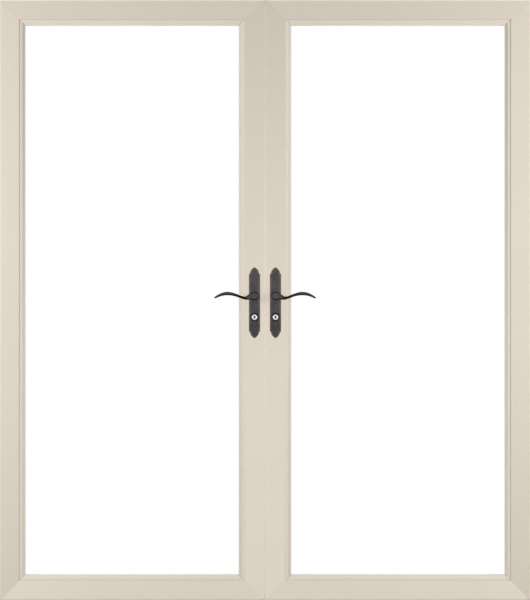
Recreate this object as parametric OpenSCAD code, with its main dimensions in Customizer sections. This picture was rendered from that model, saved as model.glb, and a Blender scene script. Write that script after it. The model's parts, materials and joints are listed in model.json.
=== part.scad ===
/* [Door set] */
// Overall width of the frame
unit_w = 1829; // [1500:1:2200]
// Overall height of the frame
unit_h = 2058; // [1850:1:2400]
// Depth of the frame from front to back
frame_d = 116; // [105:1:150]

/* [Frame] */
// Width of the frame's face beside the leaves
frame_face = 37.5; // [34:0.5:50]
// How far the stop reaches behind the edge of a leaf
stop_overlap = 14; // [12:0.5:20]
// Wall of the frame extrusion
frame_wall = 3; // [2:0.1:4]
// Room between the back of a leaf and the stop
seal_gap = 4; // [3:0.1:6]
// Radius of the fixing holes through the jambs
fixing_r = 4.5; // [3:0.1:6]
// Distance of the outer fixing holes from the frame's ends
fixing_inset = 300; // [200:10:400]
// Thickness of the metal tread on the sill
tread_t = 2; // [1:0.1:2.5]
// How far the tread folds down over the sill's face
tread_lip = 14; // [8:1:25]

/* [Leaf] */
// Thickness of a leaf
leaf_t = 57; // [54:0.5:62]
// Gap between a leaf and the frame
leaf_gap = 4; // [3.5:0.1:6]
// Gap between the two leaves
meeting_gap = 5; // [4.8:0.1:8]
// Width of the flat face of a stile or rail
face_w = 63.5; // [58:0.5:75]
// Width of the moulded glazing bead
bead_w = 20.5; // [20:0.5:30]
// Depth from the face to the back of the bead
bead_t = 15; // [14:0.5:16]
// Wall of the sash extrusion
sash_wall = 3; // [2.2:0.1:3.4]
// Depth of the middle chamber that takes the lock
chamber_d = 21; // [20:0.5:23]

/* [Glazing] */
// Thickness of each glass pane
pane_t = 4; // [3:0.5:5]
// Air space between the panes
cavity_t = 16; // [12:0.5:17]
// How far the glass reaches behind the bead
glass_bite = 13; // [10:0.5:15]
// Clearance round the edge of the glass
glass_gap = 5; // [3:0.5:6]
// Thickness of the glazing gaskets
gasket_t = 1.5; // [1:0.1:2]
// Length of a setting block
block_len = 100; // [60:5:150]

/* [Hinges] */
// Height of a hinge
hinge_h = 100; // [80:1:130]
// Radius of the hinge knuckle
knuckle_r = 6.5; // [5.5:0.1:7]
// Radius of the hinge pin
pin_r = 3; // [2:0.1:4]
// Distance of the pin outside the leaf's edge
hinge_out = 9; // [8:0.1:10]
// Distance of the pin in front of the leaf's face
hinge_proud = 8; // [7.6:0.1:9]
// Thickness of the hinge plates
hinge_t = 2.5; // [2:0.1:3]
// Distance of the outer hinges from the leaf's ends
hinge_inset = 220; // [150:5:300]

/* [Lock] */
// Height of the lever's axis above the foot of the leaf
spindle_h = 1001; // [900:0.5:1100]
// Distance of the lever's axis from the meeting edge
backset = 32; // [31:0.5:36]
// Distance from the lever's axis down to the key cylinder
key_drop = 70; // [65:0.5:92]
// Module of the pinion's teeth
tooth_module = 2; // [1.9:0.05:2.1]
// Lift of the lever in degrees
lever_lift = 60; // [45:1:60]
// Radius of a bolt rod
rod_r = 4; // [3:0.1:4.2]
// Side of the square spindle
spindle_w = 8; // [6:0.1:9]
// Radius of the cylinder's barrel
barrel_r = 9.5; // [8.5:0.05:10.5]
// Radius of the turning plug
plug_r = 7; // [6:0.05:7.5]

/* [Handle] */
// Width of the backplate
plate_w = 37; // [34:0.5:44]
// Height of the backplate
plate_h = 232; // [215:1:260]
// Thickness of the backplate
plate_t = 8; // [6:0.1:10]
// Width of the bevel round the backplate
plate_bevel = 5; // [3:0.1:6]
// Height of the pointed arch at each end of the backplate
arch_h = 20; // [16:0.5:28]
// Reach of the lever from its axis
lever_len = 133; // [110:1:150]
// Distance of the lever's blade from the leaf
lever_stand = 48; // [42:0.5:60]
// Radius of the lever's round head
head_r = 13.2; // [12.6:0.1:15]

/* [Hidden] */
$fn = 48;
overrun = 1;
SIDES = ["left", "right"];
FRAME_NODES = ["head", "sill", "sill_tread", "stop_seal", "head_keepers"];
FRAME_PAIRS = ["jamb", "frame_hinge_leaves", "hinge_pins"];
LEAF_PAIRS = [
    "hinge_stile", "meeting_stile", "top_rail", "bottom_rail", "glazing_beads",
    "front_pane", "back_pane", "spacer", "glazing_gaskets", "setting_blocks",
    "meeting_seal", "leaf_hinge_leaves", "front_plate", "back_plate", "front_lever",
    "back_lever", "spindle", "pinion", "lock_case", "key_cylinder", "key_plug",
    "top_rod", "bottom_rod"
];

// Clearances: turning fits, sliding fits and soft seals
turn_clear = 0.08;
slide_clear = 0.3;
seal_clear = 0.4;

// Leaf and frame
leaf_inset = frame_face + leaf_gap;
leaf_w = (unit_w - 2 * leaf_inset - meeting_gap) / 2;
leaf_h = unit_h - 2 * leaf_inset;
rebate_d = leaf_t + seal_gap;
stop_reach = leaf_inset + stop_overlap;
seal_u = leaf_inset + stop_overlap / 2;
seal_foot = 3;
seal_w = 8;

// Sash section
edge_r = 1.5;
bead_seat = face_w + edge_r;
sight_u = face_w + bead_w;
mould_depth = 13;
// Places along the bead from its seat to the glass, and depths below the face
mould_shares = [
    [0, 0.32], [0.12, 0.29], [0.22, 0.27], [0.32, 0.28], [0.42, 0.33], [0.52, 0.43],
    [0.62, 0.56], [0.71, 0.68], [0.80, 0.77], [0.91, 0.83], [1, 0.92]
];
rebate_u = sight_u - glass_bite - glass_gap;
pane_u = sight_u - glass_bite;
glass_v = bead_t + gasket_t;
unit_t = 2 * pane_t + cavity_t;
leg_v = glass_v + unit_t + gasket_t;
chamber_v = (leaf_t - chamber_d) / 2;
bead_joint = 0.3;
gasket_w = 8;
gasket_inset = 0.6;
spacer_w = 7;
spacer_inset = 2.5;

// Hinges
knuckle_gap = 0.4;
middle_share = 0.4;
plate_reach = 40;
pin_head_r = 4.6;
pin_head_h = 3;

// Lock
teeth = 16;
pressure_angle = 25;
pitch_r = tooth_module * teeth / 2;
addendum = tooth_module;
dedendum_share = 1.25;
dedendum = tooth_module * dedendum_share;
backlash = 0.2;
throw = pitch_r * lever_lift * PI / 180;
rack_back = 0.5;
rod_x = pitch_r + dedendum + rack_back + rod_r;
rod_recess = 1;
rack_t = 6;
rack_teeth = ceil(throw / (PI * tooth_module)) + 3;
rack_low = -2 * PI * tooth_module;
rack_high = rack_low + rack_teeth * PI * tooth_module;
pinion_t = 8;
pinion_hub_r = 9;
case_wall = 2;
case_t = 18;
case_top = throw - rack_low + 2 * slide_clear + case_wall;
forend_t = sash_wall;
forend_w = 20;
forend_over = 25;
cam_bite = 2;
cam_w = 4;
cam_t = 6;
cam_reach = rod_x - rod_r + cam_bite;
cam_slot = 10;
lug_w = 10;
lug_bridge = 4;
lug_drop = cam_reach + slide_clear + lug_bridge;
case_foot = key_drop + lug_drop + case_wall;
notch_drop = sqrt(pow(cam_reach, 2) - pow(rod_x - rod_r, 2)) + cam_w / 2;
notch_rise = cam_w / 2 + slide_clear;

// Handle
plate_base_t = 3;
plate_step = 2.7;
plate_drop = 22.4;
// Outline of the pointed arch from its shoulder to its tip
arch_shares = [
    [1, 0], [0.96, 0.15], [0.88, 0.30], [0.80, 0.45], [0.69, 0.60],
    [0.51, 0.74], [0.36, 0.86], [0.28, 0.915], [0.21, 0.96], [0.11, 1]
];
rose_r = 13.5;
rose_h = 5;
shank_r = 10.5;
collar_r = 13.3;
collar_h = 3;
barrel_proud = 1.5;
head_t = 15;
key_slot_w = 4;
key_slot_h = 8.6;
key_slot_d = 12;
turn_r = 8;
turn_t = 7;
turn_w = 28;
turn_h = 16;
// Section of the lever's blade: a ridge in front between two flat facets, and a round back
blade_shares = [
    [-1, 0.12], [-0.62, -0.52], [-0.34, -0.86], [0, -1], [0.42, -0.88], [0.78, -0.55],
    [1, 0], [0.78, 0.55], [0.42, 0.88], [0, 1], [-0.34, 0.90], [-0.62, 0.62]
];
lever_steps = 4;
// Stations of the lever: reach, rise, half height and half depth as shares of its length
lever_shares = [
    [0, 0, 0.082, 0.048], [0.09, -0.014, 0.074, 0.046], [0.16, -0.034, 0.056, 0.043],
    [0.20, -0.049, 0.040, 0.041], [0.233, -0.056, 0.032, 0.040], [0.316, -0.037, 0.028, 0.038],
    [0.474, 0.026, 0.032, 0.040], [0.677, 0.061, 0.037, 0.041], [0.857, 0.025, 0.030, 0.034],
    [0.96, -0.030, 0.021, 0.024], [1, -0.052, 0.010, 0.012]
];

vinyl = [0.85, 0.81, 0.75];
bronze = [0.26, 0.23, 0.21];
steel = [0.68, 0.69, 0.70];
chrome = [0.86, 0.86, 0.87];
rubber = [0.72, 0.69, 0.64];

// A mitred length: section in x and y, running up z, the outer edge at x = 0
module member(len, reach, joint = 0) {
    intersection() {
        linear_extrude(len) children();
        translate([0, unit_h / 2, 0])
            rotate([90, 0, 0])
                linear_extrude(unit_h)
                    polygon([
                        [-overrun, -overrun + joint / 2],
                        [reach, reach + joint / 2],
                        [reach, len - reach - joint / 2],
                        [-overrun, len + overrun - joint / 2]
                    ]);
    }
}

// The four mitred members round a rectangle, by name
module side_of(name, w, h, reach, joint = 0) {
    if (name == "left")
        member(h, reach, joint) children();
    if (name == "right")
        translate([w, 0, 0]) mirror([1, 0, 0]) member(h, reach, joint) children();
    if (name == "foot")
        mirror([0, 0, 1]) rotate([0, 90, 0]) member(w, reach, joint) children();
    if (name == "top")
        translate([0, 0, h]) rotate([0, 90, 0]) member(w, reach, joint) children();
}

module all_sides(w, h, reach, joint = 0) {
    for (name = ["left", "right", "foot", "top"])
        side_of(name, w, h, reach, joint) children();
}

// One unbroken mitred ring round a rectangle, from its section's points
module ring(w, h, section) {
    n = len(section);
    points = concat(
        [for (p = section) [p[0], p[1], p[0]]],
        [for (p = section) [w - p[0], p[1], p[0]]],
        [for (p = section) [w - p[0], p[1], h - p[0]]],
        [for (p = section) [p[0], p[1], h - p[0]]]
    );
    polyhedron(points, [
        for (corner = [0 : 3])
            for (i = [0 : n - 1])
                let (a = corner * n, b = (corner + 1) % 4 * n, j = (i + 1) % n)
                    [a + i, a + j, b + j, b + i]
    ]);
}

function strip(u, v, width, depth) = [[u, v], [u + width, v], [u + width, v + depth], [u, v + depth]];

// The frame's own corner, and the left leaf's lower hinge corner, both at the front
module on_frame() {
    translate([-unit_w / 2, -frame_d / 2, 0]) children();
}

module on_leaf() {
    translate([-leaf_w - meeting_gap / 2, -frame_d / 2, leaf_inset]) children();
}

// The lever's axis at the middle of the leaf's thickness
module on_lock() {
    on_leaf()
        translate([leaf_w - backset, leaf_t / 2, spindle_h])
            children();
}

// A length along y, from one depth to another, of a shape drawn in x and z
module through(from, to) {
    translate([0, to, 0])
        rotate([90, 0, 0])
            linear_extrude(to - from)
                children();
}

module frame_section() {
    difference() {
        polygon([
            [0, 0], [frame_face, 0], [frame_face, rebate_d], [stop_reach, rebate_d],
            [stop_reach, frame_d], [0, frame_d]
        ]);
        translate([frame_wall, frame_wall])
            square([frame_face - 2 * frame_wall, rebate_d - 2 * frame_wall]);
        translate([frame_wall, rebate_d + frame_wall])
            square([stop_reach - 2 * frame_wall, frame_d - rebate_d - 2 * frame_wall]);
        translate([seal_u - seal_foot / 2, rebate_d - overrun])
            square([seal_foot, frame_wall + 2 * overrun]);
    }
}

function mould_line(back) = [
    for (p = mould_shares)
        [bead_seat + p[0] * (sight_u - bead_seat), back ? leaf_t - p[1] * mould_depth : p[1] * mould_depth]
];

function reversed(points) = [for (i = [len(points) - 1 : -1 : 0]) points[i]];

module sash_section() {
    difference() {
        polygon(concat(
            [
                [edge_r, 0], [face_w, 0], [bead_seat, edge_r], [bead_seat, bead_t],
                [rebate_u, bead_t], [rebate_u, leg_v], [sight_u, leg_v]
            ],
            reversed(mould_line(true)),
            [
                [bead_seat, leaf_t - edge_r], [face_w, leaf_t], [edge_r, leaf_t],
                [0, leaf_t - edge_r], [0, edge_r]
            ]
        ));
        translate([sash_wall, sash_wall])
            square([bead_seat - 2 * sash_wall, chamber_v - 2 * sash_wall]);
        translate([sash_wall, chamber_v])
            square([rebate_u - 2 * sash_wall, chamber_d]);
        translate([sash_wall, chamber_v + chamber_d + sash_wall])
            square([bead_seat - 2 * sash_wall, chamber_v - 2 * sash_wall]);
    }
}

module bead_section() {
    polygon(concat(mould_line(false), [[sight_u, bead_t], [bead_seat, bead_t]]));
}

function gasket_section(v) = strip(sight_u - gasket_inset - gasket_w, v, gasket_w, gasket_t);

function seal_section() = [
    for (p = [
        [-seal_foot / 2, frame_wall], [-seal_foot / 2, 0], [-seal_w / 2, 0],
        [-seal_foot, seal_clear - seal_gap], [seal_foot, seal_clear - seal_gap],
        [seal_w / 2, 0], [seal_foot / 2, 0], [seal_foot / 2, frame_wall]
    ])
        [seal_u + p[0], rebate_d + p[1]]
];

// Both bolt rods' places on a leaf, as seen from the lock
module at_rod(sign) {
    translate([leaf_w - backset + sign * rod_x, leaf_t / 2, 0]) children();
}

keeper_t = 1.5;
keeper_w = 60;
keeper_d = 26;
bolt_hole_r = rod_r + 2 * slide_clear;

module bolt_holes(sign, low, high) {
    on_leaf()
        at_rod(sign)
            translate([0, 0, low]) cylinder(r = bolt_hole_r, h = high - low);
}

module both_sides() {
    children();
    mirror([1, 0, 0]) children();
}

module fixing_holes() {
    for (z = [fixing_inset, (unit_h + fixing_inset) / 3, unit_h - (unit_h + fixing_inset) / 3,
              unit_h - fixing_inset])
        translate([-overrun, (rebate_d + frame_d) / 2, z])
            rotate([0, 90, 0])
                cylinder(r = fixing_r, h = stop_reach + 2 * overrun);
}

module jamb() {
    color(vinyl)
        on_frame()
            difference() {
                side_of("left", unit_w, unit_h, stop_reach + overrun) frame_section();
                fixing_holes();
            }
}

module head() {
    color(vinyl)
        difference() {
            on_frame() side_of("top", unit_w, unit_h, stop_reach + overrun) frame_section();
            both_sides() bolt_holes(-1, leaf_h, leaf_h + leaf_gap + frame_wall + overrun);
        }
}

module sill() {
    color(vinyl)
        difference() {
            on_frame() side_of("foot", unit_w, unit_h, stop_reach + overrun) frame_section();
            both_sides() bolt_holes(1, -leaf_gap - frame_wall - overrun, 0);
        }
}

// Metal tread over the sill, folded down at the front, with a hole for each foot bolt
module sill_tread() {
    tread_w = unit_w - 2 * frame_face;
    color(steel)
        difference() {
            translate([-tread_w / 2, 0, frame_face])
                rotate([90, 0, 90])
                    linear_extrude(tread_w)
                        polygon([
                            [rebate_d - frame_d / 2, 0], [rebate_d - frame_d / 2, tread_t],
                            [-frame_d / 2 - tread_t, tread_t], [-frame_d / 2 - tread_t, -tread_lip],
                            [-frame_d / 2, -tread_lip], [-frame_d / 2, 0]
                        ]);
            both_sides() bolt_holes(1, -leaf_gap - overrun, 0);
        }
}

module stop_seal() {
    color(rubber)
        on_frame() ring(unit_w, unit_h, seal_section());
}

module head_keepers() {
    color(steel)
        both_sides()
            difference() {
                on_leaf()
                    at_rod(-1)
                        translate([-keeper_w / 2, -keeper_d / 2, leaf_h + leaf_gap - keeper_t])
                            cube([keeper_w, keeper_d, keeper_t]);
                bolt_holes(-1, leaf_h, leaf_h + leaf_gap + overrun);
            }
}

// Three hinges on the hinge edge, each with its middle at the axis
module at_hinges() {
    on_leaf()
        for (z = [hinge_inset, leaf_h / 2, leaf_h - hinge_inset])
            translate([-hinge_out, -hinge_proud, z])
                children();
}

middle_h = hinge_h * middle_share;
outer_h = (hinge_h - middle_h) / 2 - knuckle_gap;

module knuckle(low, h) {
    translate([0, 0, low])
        difference() {
            cylinder(r = knuckle_r, h = h);
            translate([0, 0, -overrun]) cylinder(r = pin_r + turn_clear, h = h + 2 * overrun);
        }
}

// The web between a knuckle and its plate, cut clear of the pin
module hinge_web(x, y, size_x, size_y, low, h) {
    translate([0, 0, low])
        difference() {
            translate([x, y, 0]) cube([size_x, size_y, h]);
            translate([0, 0, -overrun]) cylinder(r = pin_r + turn_clear, h = h + 2 * overrun);
        }
}

web_t = hinge_t + hinge_proud - knuckle_r;

module frame_hinge_leaves() {
    plate_in = knuckle_r + slide_clear;
    plate_out = frame_face + leaf_gap - hinge_out - hinge_t;
    color(vinyl)
        at_hinges() {
            translate([-plate_out, hinge_proud - hinge_t, -hinge_h / 2])
                cube([plate_out - plate_in, hinge_t, hinge_h]);
            for (low = [-hinge_h / 2, hinge_h / 2 - outer_h]) {
                knuckle(low, outer_h);
                hinge_web(-plate_in, hinge_proud - web_t, plate_in, web_t, low, outer_h);
            }
        }
}

module leaf_hinge_leaves() {
    color(vinyl)
        at_hinges() {
            knuckle(-middle_h / 2, middle_h);
            hinge_web(
                0, hinge_proud - web_t - slide_clear, hinge_out, web_t - slide_clear,
                -middle_h / 2, middle_h
            );
            translate([hinge_out - hinge_t, hinge_proud - web_t - slide_clear, -hinge_h / 2])
                cube([hinge_t, plate_reach + web_t, hinge_h]);
        }
}

module hinge_pins() {
    color(vinyl)
        at_hinges()
            translate([0, 0, -hinge_h / 2]) {
                cylinder(r = pin_r, h = hinge_h + overrun);
                translate([0, 0, hinge_h]) cylinder(r = pin_head_r, h = pin_head_h);
            }
}

module leaf_member(name) {
    color(vinyl)
        on_leaf()
            difference() {
                side_of(name, leaf_w, leaf_h, sight_u + overrun) sash_section();
                children();
            }
}

module hinge_stile() {
    leaf_member("left");
}

// A hole in the rail's outer wall lets the bolt rod out
module top_rail() {
    leaf_member("top")
        at_rod(-1)
            translate([0, 0, leaf_h - 2 * sash_wall])
                cylinder(r = bolt_hole_r, h = 2 * sash_wall + overrun);
}

module bottom_rail() {
    leaf_member("foot")
        at_rod(1)
            translate([0, 0, -overrun])
                cylinder(r = bolt_hole_r, h = 2 * sash_wall + overrun);
}

forend_low = -case_foot - forend_over;
forend_high = case_top + forend_over;
spindle_hole_r = spindle_w;
kerf_w = 2.5;
kerf_v = 7;

module key_outline(clear) {
    circle(r = barrel_r + clear);
    translate([-lug_w / 2 - clear, -lug_drop - clear])
        square([lug_w + 2 * clear, lug_drop]);
}

module meeting_stile() {
    leaf_member("right") {
        translate([leaf_w - sash_wall - overrun, leaf_t / 2 - forend_w / 2, spindle_h + forend_low])
            cube([sash_wall + 2 * overrun, forend_w, forend_high - forend_low]);
        translate([leaf_w - backset, 0, spindle_h])
            through(-overrun, leaf_t + overrun)
                circle(r = spindle_hole_r);
        translate([leaf_w - backset, 0, spindle_h - key_drop])
            through(-overrun, leaf_t + overrun)
                key_outline(slide_clear);
        translate([leaf_w - sash_wall - overrun, kerf_v - kerf_w / 2, -overrun])
            cube([sash_wall + 2 * overrun, kerf_w, leaf_h + 2 * overrun]);
    }
}

// A soft strip in the meeting edge, near the front, that closes half the gap
module meeting_seal() {
    nose = (meeting_gap - seal_clear) / 2;
    nose_w = 3 * kerf_w;
    color(rubber)
        on_leaf() {
            side_of("right", leaf_w, leaf_h, sash_wall)
                translate([0, kerf_v - kerf_w / 2])
                    square([sash_wall, kerf_w]);
            translate([leaf_w, kerf_v, 0])
                linear_extrude(leaf_h)
                    polygon([[0, -nose_w / 2], [nose, -kerf_w / 2], [nose, kerf_w / 2], [0, nose_w / 2]]);
        }
}

module glazing_beads() {
    color(vinyl)
        on_leaf()
            all_sides(leaf_w, leaf_h, sight_u + overrun, bead_joint) bead_section();
}

module pane(v) {
    color("white", 0.3)
        on_leaf()
            translate([pane_u, v, pane_u])
                cube([leaf_w - 2 * pane_u, pane_t, leaf_h - 2 * pane_u]);
}

module front_pane() {
    pane(glass_v);
}

module back_pane() {
    pane(glass_v + pane_t + cavity_t);
}

module spacer() {
    color(steel)
        on_leaf()
            ring(leaf_w, leaf_h, strip(pane_u + spacer_inset, glass_v + pane_t, spacer_w, cavity_t));
}

module glazing_gaskets() {
    color(rubber)
        on_leaf() {
            ring(leaf_w, leaf_h, gasket_section(bead_t));
            ring(leaf_w, leaf_h, gasket_section(leg_v - gasket_t));
        }
}

module setting_blocks() {
    color("dimgray")
        on_leaf()
            for (place_share = [0.25, 0.75])
                translate([leaf_w * place_share - block_len / 2, glass_v, rebate_u])
                    cube([block_len, unit_t, glass_gap]);
}

// Pinion: involute teeth about the lever's axis, one tooth towards each rack
base_r = pitch_r * cos(pressure_angle);
tip_r = pitch_r + addendum;
root_r = pitch_r - dedendum;
flank_steps = 5;
tooth_pitch = PI * tooth_module;

function involute(r) = tan(acos(base_r / r)) * 180 / PI - acos(base_r / r);
function half_tooth(r) =
    90 / teeth - backlash / pitch_r * 45 / PI + involute(pitch_r) - involute(r);
function at_angle(r, a) = [r * cos(a), r * sin(a)];
flank = [for (i = [0 : flank_steps]) base_r + (tip_r - base_r) * i / flank_steps];
function tooth_points(a) = concat(
    [at_angle(root_r, a - half_tooth(base_r))],
    [for (r = flank) at_angle(r, a - half_tooth(r))],
    [for (r = reversed(flank)) at_angle(r, a + half_tooth(r))],
    [at_angle(root_r, a + half_tooth(base_r))]
);

module pinion() {
    color(steel)
        on_lock()
            difference() {
                union() {
                    through(-pinion_t / 2, pinion_t / 2)
                        polygon([for (i = [0 : teeth - 1]) each tooth_points(i * 360 / teeth)]);
                    through(-case_t / 2, case_t / 2) circle(r = pinion_hub_r);
                }
                through(-case_t, case_t) square(spindle_w + 2 * turn_clear, center = true);
            }
}

spindle_grip = 25;

module spindle() {
    color(steel)
        on_lock()
            through(-leaf_t / 2 - spindle_grip, leaf_t / 2 + spindle_grip)
                square(spindle_w, center = true);
}

// A rack along z whose teeth point to -x, with the pitch line at x = pitch_r
tooth_tip = (tooth_pitch - backlash) / 4 - addendum * tan(pressure_angle);
tooth_root = (tooth_pitch - backlash) / 4 + dedendum * tan(pressure_angle);

module rack() {
    through(-rack_t / 2, rack_t / 2) {
        translate([pitch_r + dedendum, rack_low])
            square([rod_x - pitch_r - dedendum, rack_high - rack_low]);
        for (i = [0 : rack_teeth - 1])
            translate([pitch_r, rack_low + (i + 1 / 2) * tooth_pitch])
                polygon([
                    [-addendum, -tooth_tip], [-addendum, tooth_tip],
                    [dedendum, tooth_root], [dedendum, -tooth_root]
                ]);
    }
}

module bolt_rod(low, high) {
    translate([rod_x, 0, low]) cylinder(r = rod_r, h = high - low);
}

module top_rod() {
    color(steel)
        on_lock() {
            rotate([0, 180, 0]) rack();
            mirror([1, 0, 0]) bolt_rod(-rack_high, leaf_h - spindle_h - rod_recess);
        }
}

// The foot rod has a notch for the key's cam at each end of its travel
module bottom_rod() {
    color(steel)
        on_lock()
            difference() {
                union() {
                    rack();
                    bolt_rod(rod_recess - spindle_h, rack_high);
                }
                for (lift = [0, throw])
                    translate([
                        rod_x - rod_r - overrun, -rod_r - overrun,
                        lift - key_drop - notch_drop
                    ])
                        cube([
                            cam_bite + slide_clear + overrun, 2 * (rod_r + overrun),
                            notch_drop + notch_rise
                        ]);
            }
}

module lock_case() {
    case_x = rod_x + rod_r + 2 * slide_clear + case_wall;
    color(steel)
        on_lock()
            difference() {
                union() {
                    translate([-case_x, -case_t / 2, -case_foot])
                        cube([case_x + backset - forend_t, case_t, case_foot + case_top]);
                    translate([backset - forend_t, -forend_w / 2, forend_low])
                        cube([forend_t, forend_w, forend_high - forend_low]);
                }
                translate([case_wall - case_x, case_wall - case_t / 2, case_wall - case_foot])
                    cube([
                        case_x + backset - forend_t - case_wall, case_t - 2 * case_wall,
                        case_foot + case_top - 2 * case_wall
                    ]);
                through(-case_t, case_t) circle(r = pinion_hub_r + turn_clear);
                translate([0, 0, -key_drop])
                    through(-case_t, case_t) key_outline(slide_clear);
                translate([-rod_x, 0, case_top - case_wall - overrun])
                    cylinder(r = rod_r + slide_clear, h = case_wall + 2 * overrun);
                translate([rod_x, 0, -case_foot - overrun])
                    cylinder(r = rod_r + slide_clear, h = case_wall + 2 * overrun);
            }
}

barrel_end = leaf_t / 2 + plate_t + collar_h + barrel_proud;

module on_key() {
    on_lock() translate([0, 0, -key_drop]) children();
}

module key_cylinder() {
    color(chrome)
        on_key()
            difference() {
                union() {
                    through(-barrel_end, barrel_end) circle(r = barrel_r);
                    through(-leaf_t / 2, leaf_t / 2)
                        translate([-lug_w / 2, -lug_drop])
                            square([lug_w, lug_drop]);
                }
                through(-barrel_end - overrun, barrel_end + overrun)
                    circle(r = plug_r + turn_clear);
                translate([-barrel_r - overrun, -cam_slot / 2, lug_bridge - lug_drop])
                    cube([
                        2 * (barrel_r + overrun), cam_slot,
                        lug_drop - lug_bridge + barrel_r + overrun
                    ]);
            }
}

// The turning plug: keyway in front, cam in the middle, thumb turn behind
module key_plug() {
    color(chrome)
        on_key() {
            difference() {
                through(-barrel_end, barrel_end + slide_clear + overrun) circle(r = plug_r);
                translate([0, -barrel_end - overrun, 0])
                    through(0, key_slot_d + overrun)
                        square([key_slot_w, key_slot_h], center = true);
            }
            translate([-cam_w / 2, -cam_t / 2, -cam_reach])
                cube([cam_w, cam_t, cam_reach]);
            through(barrel_end + slide_clear, barrel_end + slide_clear + turn_t)
                circle(r = turn_r);
            through(barrel_end + slide_clear + turn_t, barrel_end + slide_clear + turn_t + turn_h)
                square([turn_t, turn_w], center = true);
        }
}

// Backplate: straight sides, a small step at each shoulder and a pointed arch at each end
module plate_outline() {
    half_w = plate_w / 2;
    shoulder = plate_h / 2 - arch_h;
    quarter = concat(
        [[half_w, shoulder - plate_step]],
        [for (p = arch_shares) [p[0] * (half_w - plate_step), shoulder + p[1] * arch_h]]
    );
    top = concat(quarter, [for (p = reversed(quarter)) [-p[0], p[1]]]);
    polygon(concat(top, [for (p = top) [-p[0], -p[1]]]));
}

module backplate() {
    color(bronze)
        difference() {
            union() {
                translate([0, 0, -plate_drop]) {
                    through(-plate_base_t, 0) plate_outline();
                    translate([0, -plate_base_t, 0])
                        rotate([90, 0, 0])
                            linear_extrude(
                                plate_t - plate_base_t, slices = 1,
                                scale = [1 - 2 * plate_bevel / plate_w, 1 - 2 * plate_bevel / plate_h]
                            )
                                plate_outline();
                }
                through(-plate_t - rose_h, -plate_base_t) circle(r = rose_r);
                translate([0, 0, -key_drop])
                    through(-plate_t - collar_h, -plate_base_t) circle(r = collar_r);
            }
            through(-plate_t - rose_h - overrun, overrun) circle(r = shank_r + turn_clear);
            translate([0, 0, -key_drop])
                through(-plate_t - collar_h - overrun, overrun) circle(r = barrel_r + slide_clear);
        }
}

// Lever: a wave-shaped blade swept through rings along its stations
function blend(a, b, c, d, t) =
    b + (c - a) * t / 2 + (2 * a - 5 * b + 4 * c - d) * t * t / 2 + (3 * b - a - 3 * c + d) * t * t * t / 2;
function station(i) = lever_shares[max(0, min(len(lever_shares) - 1, i))];
lever_rings = [
    for (i = [0 : len(lever_shares) - 2])
        for (k = [0 : lever_steps - 1])
            blend(station(i - 1), station(i), station(i + 1), station(i + 2), k / lever_steps),
    station(len(lever_shares) - 1)
];

module lever_blade() {
    points = [
        for (s = lever_rings)
            for (p = blade_shares)
                lever_len * [-s[0], s[3] * p[0], s[1] + s[2] * p[1]]
    ];
    sides = len(blade_shares);
    last = len(lever_rings) - 1;
    faces = concat(
        [[for (k = [sides - 1 : -1 : 0]) k]],
        [[for (k = [0 : sides - 1]) last * sides + k]],
        [
            for (i = [0 : last - 1])
                for (k = [0 : sides - 1])
                    let (a = i * sides + k, b = i * sides + (k + 1) % sides)
                        [a, b, b + sides, a + sides]
        ]
    );
    polyhedron(points, faces);
}

module lever() {
    round = head_t / 4;
    color(bronze)
        difference() {
            union() {
                translate([0, -lever_stand, 0]) {
                    lever_blade();
                    rotate([90, 0, 0])
                        rotate_extrude()
                            polygon([
                                [0, -head_t / 2], [head_r - round, -head_t / 2], [head_r, round - head_t / 2],
                                [head_r, head_t / 2 - round], [head_r - round, head_t / 2], [0, head_t / 2]
                            ]);
                }
                through(-lever_stand, -slide_clear) circle(r = shank_r);
            }
            through(-spindle_grip, overrun)
                square(spindle_w + 2 * turn_clear, center = true);
        }
}

module in_front() {
    on_lock() translate([0, -leaf_t / 2, 0]) children();
}

module behind() {
    on_lock() mirror([0, 1, 0]) translate([0, -leaf_t / 2, 0]) children();
}

module front_plate() {
    in_front() backplate();
}

module back_plate() {
    behind() backplate();
}

module front_lever() {
    in_front() lever();
}

module back_lever() {
    behind() lever();
}

module on_side(side) {
    if (side == "right")
        mirror([1, 0, 0]) children();
    else
        children();
}

head();
sill();
sill_tread();
stop_seal();
head_keepers();
for (side = SIDES) {
    on_side(side) jamb();
    on_side(side) frame_hinge_leaves();
    on_side(side) hinge_pins();
    on_side(side) hinge_stile();
    on_side(side) meeting_stile();
    on_side(side) top_rail();
    on_side(side) bottom_rail();
    on_side(side) glazing_beads();
    on_side(side) front_pane();
    on_side(side) back_pane();
    on_side(side) spacer();
    on_side(side) glazing_gaskets();
    on_side(side) setting_blocks();
    on_side(side) meeting_seal();
    on_side(side) leaf_hinge_leaves();
    on_side(side) front_plate();
    on_side(side) back_plate();
    on_side(side) front_lever();
    on_side(side) back_lever();
    on_side(side) spindle();
    on_side(side) pinion();
    on_side(side) lock_case();
    on_side(side) key_cylinder();
    on_side(side) key_plug();
    on_side(side) top_rod();
    on_side(side) bottom_rod();
}
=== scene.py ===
# %% [markdown]
# # French doors in almond vinyl
# A pair of full-glass doors in a vinyl frame, with dark bronze levers on long backplates.
# The CAD model already holds every solid at its true size, so this lesson only dresses it:
# it gives each solid its finish, adds the screws, and models again the handles, whose soft
# castings a CAD solid can only hint at. Everything is in metres, with the front towards -Y.

# %% Load the solids
import json
import math
from collections import namedtuple

import bmesh
import bpy
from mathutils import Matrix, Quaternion, Vector


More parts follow.
